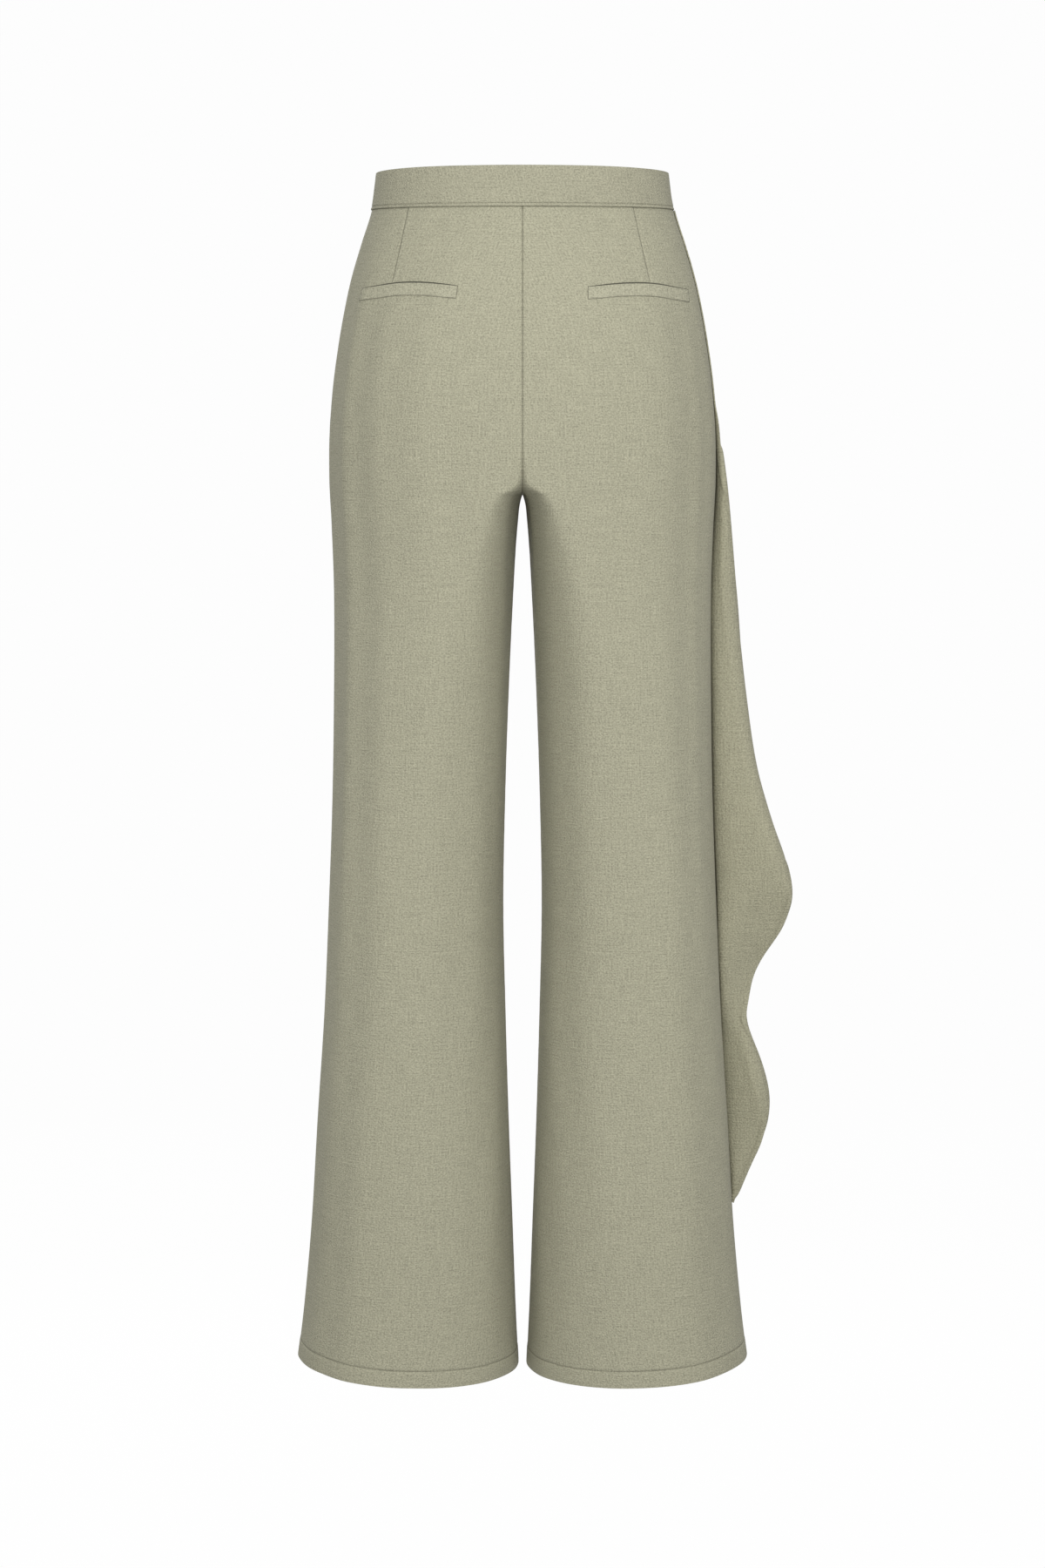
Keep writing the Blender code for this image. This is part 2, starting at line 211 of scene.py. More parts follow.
# A shell of cloth: the grid's points are its outer face, and the wall lies behind them
def clothShell(name, points, outward, wall, material, uv, paintedShade, rim=0.35):
    rows, columns = points.shape[0] - 1, points.shape[1] - 1
    most = float(wall.max())
    shape = bmesh.new()
    bmesh.ops.create_grid(shape, x_segments=columns, y_segments=rows, size=0.5)
    group = shape.verts.layers.deform.verify()
    cloth = shape.loops.layers.uv.new("cloth")
    # Painted shade per point, which the cloth material reads to darken the colour
    dark = shape.verts.layers.float.new("paintedShade")
    places = {}
    for vertex in shape.verts:
        i = round((vertex.co.x + 0.5) * columns)
        j = round((vertex.co.y + 0.5) * rows)
        places[vertex.index] = (j, i)
        vertex.co = points[j, i]
        vertex[group][0] = float(wall[j, i]) / most
        vertex[dark] = float(paintedShade[j, i])
    for face in shape.faces:
        for loop in face.loops:
            loop[cloth].uv = uv[places[loop.vert.index]]
    shape.normal_update()
    centre = shape.faces[:][len(shape.faces) // 2]
    if centre.normal.dot(Vector(outward[places[centre.verts[0].index]])) < 0:
        bmesh.ops.reverse_faces(shape, faces=shape.faces[:])
    data = bpy.data.meshes.new(name)
    shape.to_mesh(data)
    shape.free()
    data.materials.append(material)
    piece = bpy.data.objects.new(name, data)
    bpy.context.scene.collection.objects.link(piece)
    piece.vertex_groups.new(name="wall")
    solid = piece.modifiers.new("wall", "SOLIDIFY")
    solid.thickness = most
    solid.offset = -1
    solid.vertex_group = "wall"
    rounding = piece.modifiers.new("rim", "BEVEL")
    rounding.width = rim * mm
    rounding.segments = 2
    rounding.limit_method = "ANGLE"
    rounding.angle_limit = math.radians(60)
    bake(piece)
    return piece


# Applies a piece's modifiers and smooths its faces
def bake(piece):
    graph = bpy.context.evaluated_depsgraph_get()
    shape = bpy.data.meshes.new_from_object(piece.evaluated_get(graph))
    piece.modifiers.clear()
    piece.data = shape
    shape.shade_smooth()
    shape.set_sharp_from_angle(angle=math.radians(65))


# One small rounded thread, whose copies make every line of stitches
def threadTemplate():
    shape = bmesh.new()
    bmesh.ops.create_uvsphere(shape, u_segments=6, v_segments=4, radius=1)
    points = np.array([vertex.co for vertex in shape.verts])
    faces = [[vertex.index for vertex in face.verts] for face in shape.faces]
    shape.free()
    return points, faces


stitch = threadTemplate()


# Stitches along a line of points, each a small rounded thread lying on the cloth
def sewLine(line, normals, sizes):
    pitch, length, radius = (sizes[name] * mm for name in ("pitch", "length", "radius"))
    steps = np.linalg.norm(np.diff(line, axis=0), axis=1)
    arc = np.insert(np.cumsum(steps), 0, 0)
    count = max(int(arc[-1] / pitch), 1)
    middles = (np.arange(count) + 0.5) * arc[-1] / count

    def along(values, places):
        return np.stack([np.interp(places, arc, values[:, k]) for k in range(3)], axis=1)

    start, end = along(line, middles - length / 2), along(line, middles + length / 2)
    run = end - start
    side = np.cross(run, along(normals, middles))
    side /= np.linalg.norm(side, axis=1, keepdims=True)
    up = np.cross(side, run)
    up /= np.linalg.norm(up, axis=1, keepdims=True)
    x, y, z = (stitch[0][None, :, k : k + 1] for k in range(3))
    centre = (start + end)[:, None, :] / 2
    return centre + x * side[:, None] * radius + y * up[:, None] * radius + z * run[:, None] / 2


def threadPiece(name, runs, material):
    points = np.concatenate(runs)
    count = points.shape[1]
    faces = [
        [corner + place * count for corner in face]
        for place in range(len(points))
        for face in stitch[1]
    ]
    data = bpy.data.meshes.new(name)
    data.from_pydata(points.reshape(-1, 3).tolist(), [], faces)
    data.materials.append(material)
    data.shade_smooth()
    piece = bpy.data.objects.new(name, data)
    bpy.context.scene.collection.objects.link(piece)
    return piece


# Materials


# Woven crepe: noise scales per metre both ways, detail and roughness, and how each one shows
weave = {
    "dents": ((620, 720), 2, 0.6),
    "warp": ((1100, 45), 1, 0.5),
    "weft": ((40, 1100), 1, 0.5),
    "cloud": ((7, 5), 2, 0.5),
    "yarnHeight": 0.35,
    "dentTone": 0.95,
    "yarnTone": 0.26,
    "cloudTone": 0.06,
    "baseTone": 0.225,
}


# A grain of small dents with faint thicker yarns both ways, from a map in metres
def crepeGroup(look):
    group = bpy.data.node_groups.new("crepe", "ShaderNodeTree")
    sockets = group.interface
    sockets.new_socket(name="Place", socket_type="NodeSocketVector", in_out="INPUT")
    sockets.new_socket(name="Height", socket_type="NodeSocketFloat", in_out="OUTPUT")
    sockets.new_socket(name="Tone", socket_type="NodeSocketFloat", in_out="OUTPUT")
    nodes, links = group.nodes, group.links
    source = nodes.new("NodeGroupInput")
    result = nodes.new("NodeGroupOutput")

    def grain(scale, detail, rough):
        stretch = nodes.new("ShaderNodeMapping")
        stretch.inputs["Scale"].default_value = (scale[0], scale[1], 1)
        texture = nodes.new("ShaderNodeTexNoise")
        texture.noise_dimensions = "2D"
        texture.inputs["Scale"].default_value = 1
        texture.inputs["Detail"].default_value = detail
        texture.inputs["Roughness"].default_value = rough
        links.new(source.outputs["Place"], stretch.inputs["Vector"])
        links.new(stretch.outputs["Vector"], texture.inputs["Vector"])
        return texture.outputs["Fac"]

    def combine(how, first, second):
        node = nodes.new("ShaderNodeMath")
        node.operation = how
        for socket, value in zip(node.inputs, (first, second)):
            if isinstance(value, float):
                socket.default_value = value
            else:
                links.new(value, socket)
        return node.outputs["Value"]

    dents = grain(*look["dents"])
    yarns = combine("ADD", grain(*look["warp"]), grain(*look["weft"]))
    height = combine("ADD", dents, combine("MULTIPLY", yarns, look["yarnHeight"]))
    links.new(height, result.inputs["Height"])
    dentTone = combine("MULTIPLY", dents, look["dentTone"])
    tone = combine("ADD", dentTone, combine("MULTIPLY", yarns, look["yarnTone"]))
    cloud = combine("MULTIPLY", grain(*look["cloud"]), look["cloudTone"])
    tone = combine("ADD", tone, cloud)
    links.new(combine("ADD", tone, look["baseTone"]), result.inputs["Tone"])
    return group


# Cloth with painted shade: its colour darkens a little where a seam or an edge turns in, standing in for
# the shadow there
def clothMaterial(look, group):
    material = bpy.data.materials.new(look["name"])
    material.use_nodes = True
    nodes, links = material.node_tree.nodes, material.node_tree.links
    surface = nodes["Principled BSDF"]
    surface.inputs["Roughness"].default_value = look["roughness"]
    surface.inputs["Sheen Weight"].default_value = look["sheen"]
    surface.inputs["Sheen Roughness"].default_value = 0.5
    surface.inputs["Specular IOR Level"].default_value = 0.25
    place = nodes.new("ShaderNodeUVMap")
    place.uv_map = "cloth"
    crepe = nodes.new("ShaderNodeGroup")
    crepe.node_tree = group
    tint = nodes.new("ShaderNodeVectorMath")
    tint.operation = "SCALE"
    tint.inputs[0].default_value = look["colour"]
    # Painted shade: where this per-point mask is high, the colour darkens to seamShade times itself
    paintedShade = nodes.new("ShaderNodeAttribute")
    paintedShade.attribute_name = "paintedShade"
    shade = nodes.new("ShaderNodeMix")
    shade.data_type = "RGBA"
    shade.inputs[7].default_value = (*[c * look["seamShade"] for c in look["colour"]], 1)
    bump = nodes.new("ShaderNodeBump")
    bump.inputs["Distance"].default_value = look["relief"] * mm
    bump.inputs["Strength"].default_value = 1
    links.new(place.outputs["UV"], crepe.inputs["Place"])
    links.new(crepe.outputs["Tone"], tint.inputs["Scale"])
    links.new(tint.outputs["Vector"], shade.inputs[6])
    links.new(paintedShade.outputs["Fac"], shade.inputs[0])
    links.new(shade.outputs[2], surface.inputs["Base Color"])
    links.new(crepe.outputs["Height"], bump.inputs["Height"])
    links.new(bump.outputs["Normal"], surface.inputs["Normal"])
    return material


# Studio white: full white to the camera, and a softer light on the cloth
def bowlMaterial(look):
    material = bpy.data.materials.new("studioWhite")
    material.use_nodes = True
    nodes, links = material.node_tree.nodes, material.node_tree.links
    surface = nodes["Principled BSDF"]
    surface.inputs["Base Color"].default_value = (0.02, 0.02, 0.02, 1)
    surface.inputs["Roughness"].default_value = 1
    surface.inputs["Specular IOR Level"].default_value = 0
    surface.inputs["Emission Strength"].default_value = 1
    path = nodes.new("ShaderNodeLightPath")
    glow = nodes.new("ShaderNodeMix")
    glow.data_type = "RGBA"
    glow.inputs[6].default_value = (*[look["soft"]] * 3, 1)
    glow.inputs[7].default_value = (*[look["seen"]] * 3, 1)
    links.new(path.outputs["Is Camera Ray"], glow.inputs[0])
    links.new(glow.outputs[2], surface.inputs["Emission Color"])
    return material


def plainMaterial(look):
    material = bpy.data.materials.new(look["name"])
    material.use_nodes = True
    surface = material.node_tree.nodes["Principled BSDF"]
    surface.inputs["Base Color"].default_value = (*look["colour"], 1)
    surface.inputs["Roughness"].default_value = look["roughness"]
    return material


crepe = crepeGroup(weave)
clothLook = {"roughness": 0.88, "sheen": 0.06, "seamShade": 0.42, "relief": 0.8}
trouserCloth = clothMaterial(
    {"name": "trouserCloth", "colour": (0.372, 0.360, 0.262), **clothLook}, crepe
)
# Band cloth: the trouser cloth painted a little darker, as painted shade for the dimmer light on the
# waistband
bandCloth = clothMaterial(
    {"name": "bandCloth", "colour": (0.356, 0.344, 0.251), **clothLook}, crepe
)
# Welt cloth: the same cloth with darker painted shade, for the pocket mouth
weltCloth = clothMaterial(
    {**clothLook, "name": "weltCloth", "colour": (0.390, 0.378, 0.278), "seamShade": 0.22},
    crepe,
)
wrapCloth = clothMaterial(
    {"name": "wrapCloth", "colour": (0.366, 0.352, 0.250), **clothLook}, crepe
)
thread = plainMaterial(
    {"name": "thread", "colour": (0.170, 0.162, 0.110), "roughness": 0.7}
)
print("materials made")

# Leg panels: sizes and relief in mm, by distance from the seams and height
leg = {
    "columns": 104,
    "endShare": 0.22,
    "edgeShares": (0.0009, 0.002),
    "seatRows": 40,
    "crotchRows": 44,
    "crotchCrowd": 0.6,
    "legRows": 176,
    "legCrowd": 1.25,
    "hemRows": (1.8, 1.0, 0.5, 0, -0.5, -1.0, -1.8, -4, -7, -10, -12.5),
    "tuckedIn": 3,
    "topFade": 80,
    "joined": (-6, 2),
    "joinedWidth": (1, 8),
    "tuck": 0.8,
    "tuckWidth": 1.0,
    # Painted shade along the side and centre seams: how dark, and how wide
    "seamLineShade": 0.9,
    "sideLineWidth": 0.45,
    "centreLineWidth": 0.42,
    "hipRun": (60, 150),
    "ridge": 1.3,
    "ridgePlace": 61,
    "ridgeWidth": 9,
    "ridgeEnd": 720,
    "ridgeFade": 160,
    "swell": 3.0,
    "swellRise": (76, 106),
    "swellFall": (112, 230),
    "bulge": 5.5,
    "bulgeRun": (560, 900),
    "bulgeTurn": 1.6,
    "pucker": 0.07,
    "puckerLength": 2.9,
    "puckerBeat": 11.3,
    "puckerWidth": 6,
    "hemDip": 0.4,
    "hemDipWidth": 0.9,
    "hemRise": 0.35,
    # Painted shade along the top edge of the turned-up hem
    "hemLineShade": 0.6,
    "hemLineWidth": 0.6,
    "bandDip": 0.7,
    "bandDipRun": (-1.2, 0.2),
    # Painted shade just under the waistband
    "bandLineShade": 0.5,
    "bandLineRun": (-0.5, -0.1),
    "darts": {"left": ((-19.0, 98.9), (-80.9, 112.3)), "right": ((-17.6, 95.7), (-80.7, 109.4))},
    "dartDip": 0.6,
    "dartWidth": 0.9,
    "dartOuter": (0.45, 9),
    "dartInner": (0.25, 6),
    # Painted shade along the darts
    "dartLineShade": 0.85,
    "dartLineWidth": 0.66,
    "dartEnd": -82.5,
    "dartFade": 4,
    "dartSteps": (0.0, 0.0012, 0.0026, 0.0045, 0.0075, 0.012, 0.018),
    "dartClear": 0.004,
}
# Soft uneven folds that run down the cloth, and the slow sway of their lines, in mm
folds = {
    "columns": ("amount", "spacing", "sway", "shift"),
    "rows": ((0.55, 74, 0.16, 1), (0.3, 43, -0.2, 2.3)),
}
sways = {"columns": ("amount", "length", "shift"), "rows": ((0.5, 118, 1), (0.3, 57, 2))}
drift = {"amount": 0.35, "length": 61, "slant": 90, "run": (200, 500)}
calmRun = {"top": (20, 110), "hem": (900, 1048), "hemCalm": 0.6, "seams": (4, 32)}
sewing = {"pitch": 3.0, "length": 2.3, "radius": 0.2}


# Where on a half's surface a distance from the centre line falls, by halving
def shareAt(x, height, face):
    low, high = 0 * x, 0 * x + 1.0
    for _ in range(24):
        middle = (low + high) / 2
        inside = bodyPoint(middle, height, face)[0] < x
        low, high = np.where(inside, middle, low), np.where(inside, high, middle)
    return (low + high) / 2


def legHeights():
    top = -cut["bandHalf"] * mm
    hemTop = (cut["hemMiddle"] + cut["hem"]) * mm
    cleft, crotch = cut["cleft"] * mm, cut["crotch"] * mm
    tucked = leg["tuckedIn"] * mm
    rows = [top + tucked, top + 0.6 * tucked, top + 0.15 * mm, top - 0.3 * mm, top - 0.9 * mm]
    rows += list(np.linspace(top - 2 * mm, cleft, leg["seatRows"])[:-1])
    even = np.linspace(0, 1, leg["crotchRows"])
    rows += list(mix(cleft, crotch, mix(even, np.sin(np.pi / 2 * even), leg["crotchCrowd"])))
    even = np.linspace(0, 1, leg["legRows"])[1:]
    rows += list(mix(crotch, hemTop + 3 * mm, even ** leg["legCrowd"]))
    rows += [hemTop + offset * mm for offset in leg["hemRows"]]
    rows += [cut["hemMiddle"] * mm]
    return np.array(rows)


def legShares(face, word):
    even = np.linspace(0, 1, leg["columns"])
    turned = 0.5 - 0.5 * np.cos(np.pi * even)
    shares = mix(turned, even, leg["endShare"])
    near, second = leg["edgeShares"]
    shares = np.concatenate([[0, near, second], shares[1:-1], [1 - second, 1 - near, 1]])
    if face == "back":
        (topLevel, topX), (lowLevel, lowX) = leg["darts"][word]
        ends = shareAt(np.array([topX, lowX]) * mm, np.array([topLevel, lowLevel]) * mm, face)
        place = ends.mean()
        steps = np.array(leg["dartSteps"])
        close = np.concatenate([place - steps[::-1], place + steps[1:]])
        far = shares[np.abs(shares - place) > steps[-1] + leg["dartClear"]]
        shares = np.sort(np.concatenate([far, close]))
    return shares


# Where a back dart runs at each height, as a distance along the row
def dartDistance(word, points, arc, heights):
    (topLevel, topX), (lowLevel, lowX) = leg["darts"][word]
    x = np.interp(-heights[:, 0], [-topLevel * mm, -lowLevel * mm], [topX * mm, lowX * mm])
    slope = (lowX - topX) / (topLevel - lowLevel)
    x = x + np.maximum(topLevel * mm - heights[:, 0] - (topLevel - lowLevel) * mm, 0) * slope
    found = [np.interp(x[j], np.abs(points[j, :, 0]), arc[j]) for j in range(len(x))]
    return arc - np.array(found)[:, None]


# Uneven folds of one leg panel, calm at the waist, the hem and the seams
def legFolds(fromCentre, fromSide, level, seed):
    sway = sum(
        amount * np.sin(level / length + shift * seed) for amount, length, shift in sways["rows"]
    )
    soft = sum(
        amount * np.sin(2 * np.pi * (fromSide / spacing + share * sway + shift * seed))
        for amount, spacing, share, shift in folds["rows"]
    )
    slant = np.sin(level / drift["length"] + fromSide / drift["slant"] + seed)
    soft += drift["amount"] * slant * smoothStep(*drift["run"], -level)
    calm = smoothStep(*calmRun["top"], -level)
    calm *= 1 - calmRun["hemCalm"] * smoothStep(*calmRun["hem"], -level)
    ends = smoothStep(*calmRun["seams"], fromCentre) * smoothStep(*calmRun["seams"], fromSide)
    return soft * calm * ends


# Relief of one leg panel, and how dark each place's seam shadow is
def legRelief(face, word, points, arc, heights, shares, seed):
    length = arc[:, -1:]
    fromSide = (length - arc) / mm
    fromCentre = arc / mm
    level = heights / mm
    relief = -leg["tuck"] * (bell(fromSide, leg["tuckWidth"]) + bell(fromCentre, leg["tuckWidth"]))
    # Painted shade along the side and centre seams, standing in for their shadow
    sideLine = bell(fromSide, leg["sideLineWidth"])
    centreLine = bell(fromCentre, leg["centreLineWidth"])
    paintedShade = leg["seamLineShade"] * np.maximum(sideLine, centreLine)

    hip = smoothStep(*leg["hipRun"], -level)
    end = leg["ridgeEnd"]
    ridge = leg["ridge"] * (1 - smoothStep(end - leg["ridgeFade"], end, -level))
    relief += hip * ridge * bell(fromSide - leg["ridgePlace"], leg["ridgeWidth"])
    swell = smoothStep(*leg["swellRise"], fromSide) * (1 - smoothStep(*leg["swellFall"], fromSide))
    relief += hip * leg["swell"] * swell
    low = smoothStep(*leg["bulgeRun"], -level)
    crown = np.sin(np.pi * np.clip(arc / length, 0, 0.9999)) ** leg["bulgeTurn"]
    relief += low * leg["bulge"] * crown
    relief += legFolds(fromCentre, fromSide, level, seed)
    pucker = np.sin(level / leg["puckerLength"] + seed * 5)
    pucker *= np.sin(level / leg["puckerBeat"] + seed)
    seamSide = bell(np.minimum(fromCentre, fromSide), leg["puckerWidth"])
    relief += leg["pucker"] * pucker * seamSide

    above = (heights - hemHeight(shares)[None, :]) / mm
    relief -= leg["hemDip"] * bell(above - cut["hem"], leg["hemDipWidth"])
    relief += leg["hemRise"] * (1 - smoothStep(cut["hem"] - 3, cut["hem"] + 0.5, above))
    # Painted shade along the top edge of the hem
    paintedShade = np.maximum(paintedShade, leg["hemLineShade"] * bell(above - cut["hem"], leg["hemLineWidth"]))
    under = level - (bandSeam(shares)[None, :] / mm - 0.1)
    relief -= leg["bandDip"] * smoothStep(*leg["bandDipRun"], under)
    # Painted shade just under the waistband
    paintedShade = np.maximum(paintedShade, leg["bandLineShade"] * smoothStep(*leg["bandLineRun"], under))
    if face == "back":
        away = dartDistance(word, points, arc, heights) / mm
        run = smoothStep(leg["dartEnd"], leg["dartEnd"] + leg["dartFade"], level)
        outer, outerWidth = leg["dartOuter"]
        inner, innerWidth = leg["dartInner"]
        relief -= leg["dartDip"] * run * bell(away, leg["dartWidth"])
        relief -= outer * run * np.where(away > 0, bell(away, outerWidth), 0)
        relief += inner * run * np.where(away < 0, bell(away, innerWidth), 0)
        # Painted shade along the dart
        paintedShade = np.maximum(paintedShade, leg["dartLineShade"] * run * bell(away, leg["dartLineWidth"]))
    return relief * mm, np.clip(paintedShade, 0, 1)


def legPanel(face, word, seed):
    side = 1 if word == "left" else -1
    facing = 1 if face == "back" else -1
    shares = legShares(face, word)
    rows = legHeights()
    top = -cut["bandHalf"] * mm
    heights = np.repeat(rows[:, None], len(shares), axis=1)
    reach = leg["topFade"] * mm
    fade = np.clip((heights + reach) / (top + reach), 0, 1)
    heights = heights + (bandSeam(shares)[None, :] - top) * fade
    low = smoothStep(0.3, 1, rows / (cut["hemMiddle"] * mm))[:, None]
    heights += (hemHeight(shares)[None, :] - cut["hemMiddle"] * mm) * low
    x, y = bodyPoint(shares[None, :], heights, face)
    points = np.stack([side * x, facing * np.maximum(y, 0), heights], axis=2)
    arc = rowArc(points)
    halfWidth = tableValue(body, heights, "halfWidth")
    outward = np.stack([points[:, :, 0] - side * halfWidth / 2, points[:, :, 1], 0 * x], axis=2)
    normals = gridNormals(points, outward)
    relief, paintedShade = legRelief(face, word, points, arc, heights, shares, seed)
    joined = smoothStep(*leg["joined"], heights / mm - cut["crotch"])
    normals[:, :, 0] *= 1 - joined * (1 - smoothStep(*leg["joinedWidth"], arc / mm))
    points = points + normals * relief[:, :, None]
    points[:, :, 0] = side * np.maximum(side * points[:, :, 0], 0)
    points[:, :, 1] = facing * np.maximum(facing * points[:, :, 1], 0)
    above = (heights - hemHeight(shares)[None, :]) / mm
    wall = mix(cut["hemWall"], cut["cloth"], smoothStep(cut["hem"] - 0.5, cut["hem"] + 0.5, above))
    uv = np.stack([arc - arc[:, -1:], heights], axis=2)
    piece = clothShell(f"{face}{word.title()}", points, normals, wall * mm, trouserCloth, uv, paintedShade)
    surface = {"shares": shares, "heights": heights, "points": points, "normals": normals}
    stitchRow = int(np.argmin(np.abs(rows - (cut["hemMiddle"] + cut["hem"]) * mm)))
    return piece, surface, stitchRow


# A place on a made panel and its normal, at a share and a height
def surfaceAt(surface, share, height):
    column = np.interp(share, surface["shares"], np.arange(len(surface["shares"])))
    i = min(int(column), len(surface["shares"]) - 2)
    levels = mix(surface["heights"][:, i], surface["heights"][:, i + 1], column - i)
    row = np.interp(-height, -levels, np.arange(len(levels)))
    j = min(int(row), len(levels) - 2)
    found = []
    for name in ("points", "normals"):
        grid = surface[name]
        upper = mix(grid[j, i], grid[j, i + 1], column - i)
        lower = mix(grid[j + 1, i], grid[j + 1, i + 1], column - i)
        found.append(mix(upper, lower, row - j))
    return found


hemRuns = []
surfaces = {}
panels = {}
for number, (face, word) in enumerate(
    (face, word) for face in ("back", "front") for word in ("left", "right")
):
    piece, surface, row = legPanel(face, word, 0.37 + 0.61 * number)
    panels[f"{face}_{word}"] = piece
    surfaces[f"{face}_{word}"] = surface
    line, normals = surface["points"][row], surface["normals"][row]
    hemRuns.append(sewLine(line, normals, sewing))
hemStitches = threadPiece("hemStitches", hemRuns, thread)
print("leg panels made")

# Waistband: a ring with a closed slit at the left side seam and an edge stitch along its foot
band = {
    "steps": 260,
    "slit": 0.06,
    "rows": (0, 0.25, 0.6, 1.0, 1.4, 1.8, 2.1, 2.3, 2.5, 2.8, 3.2, 3.8, 5, 8, 12, 17, 22, 27, 30),
    "stitch": 2.3,
    "sewing": {"pitch": 2.8, "length": 2.1, "radius": 0.19},
    "dip": 0.38,
    "dipWidth": 0.55,
    "foot": 0.12,
    "footRun": (1.0, 2.4),
    "waves": {
        "columns": ("amount", "length", "shift", "end"),
        "rows": ((0.16, 34, 0, 12), (0.12, 13, 1.1, 14)),
    },
    "waveStart": 4,
    # Painted shade just under the edge stitch and along the band's foot: how dark, how wide and where
    "line": 0.32,
    "lineWidth": 0.45,
    "lineDrop": 0.2,
    "footLineShade": 0.35,
    "footLineRun": (0, 0.4),
    "rim": 0.6,
}


def makeBand():
    gap = band["slit"] / 2 / body["rows"][0][1]
    turns = np.linspace(gap, 2 * np.pi - gap, band["steps"] + 1)[None, :]
    across = np.abs(np.cos(turns))
    share = 1 - np.arccos(np.clip(across, 0, 1)) / (np.pi / 2)
    full = 2 * cut["bandHalf"]
    levels = np.array(band["rows"] + (full,))[:, None]
    low, high = bandSeam(share), bandTop(share)
    heights = low + (high - low) * levels / full
    power = 2 / cut["roundness"]
    back = np.sin(turns) > 0
    deep = np.where(back, tableValue(body, heights, "back"), tableValue(body, heights, "front"))
    half = tableValue(body, heights, "halfWidth") + cut["bandProud"] * mm
    x = np.sign(np.cos(turns)) * across**power * half
    y = np.sign(np.sin(turns)) * np.abs(np.sin(turns)) ** power * (deep + cut["bandProud"] * mm)
    points = np.stack([x, y, heights], axis=2)
    normals = gridNormals(points, np.stack([x, y, 0 * x], axis=2))
    arc = rowArc(points)
    fromStitch = levels - band["stitch"]
    relief = -band["dip"] * bell(fromStitch, band["dipWidth"]) + 0 * arc
    relief += band["foot"] * (1 - smoothStep(*band["footRun"], levels))
    for amount, length, shift, end in band["waves"]["rows"]:
        run = smoothStep(band["waveStart"], end, levels)
        relief += amount * np.sin(arc / mm / length + shift) * run
    points = points + normals * relief[:, :, None] * mm
    # Painted shade under the edge stitch and along the foot, standing in for their shadow
    paintedShade = band["line"] * bell(fromStitch - band["lineDrop"], band["lineWidth"]) + 0 * arc
    footLineShade = band["footLineShade"] * (1 - smoothStep(*band["footLineRun"], levels))
    paintedShade = np.maximum(paintedShade, footLineShade)
    wall = np.full(arc.shape, cut["bandWall"] * mm)
    uv = np.stack([arc - arc[:, -1:] / 2, heights], axis=2)
    piece = clothShell(
        "waistbandCloth", points, normals, wall, bandCloth, uv, paintedShade, band["rim"]
    )
    row = band["rows"].index(band["stitch"])
    return piece, points[row], normals[row]


panels["waistband"], line, normals = makeBand()
bandRun = sewLine(line, normals, band["sewing"])
bandStitches = threadPiece("bandStitches", [bandRun], thread)
print("waistband made")

# Back welts, set almost flush, with a thin mouth along the arched top edge that is painted dark, as
# painted shade for the pocket opening
welt = {
    "left": {"inner": 55.0, "outer": 138.6, "top": -86.5, "lean": (1.6, 3.1)},
    "right": {"inner": 55.7, "outer": 144.6, "top": -87.1, "lean": (-0.2, 1.0)},
    "arch": 3.4,
    "archTurn": 1.3,
    "height": 10.8,
    "lift": 0.35,
    "mouth": 1.3,
    "mouthRows": (1, 0.8, 0.5, 0.25),
    "gapeTurn": 0.35,
    "edge": (0, 0.25, 0.6, 1.1, 2),
    "columns": 60,
    "rows": 10,
    "body": 0.45,
    "bodyRun": (0, 1.4),
    "lip": 0.5,
    "lipRun": (5, 0),
    "lipEnds": (0, 6),
    "mouthRun": (-0.35, 0),
    # Painted shade along the welt's ends and foot, and over its mouth
    "line": 0.75,
    "endLineWidth": 0.6,
    "footLineWidth": 0.5,
    "mouthShade": (0.3, -0.1),
    "wall": 0.9,
    "rim": 0.2,
}


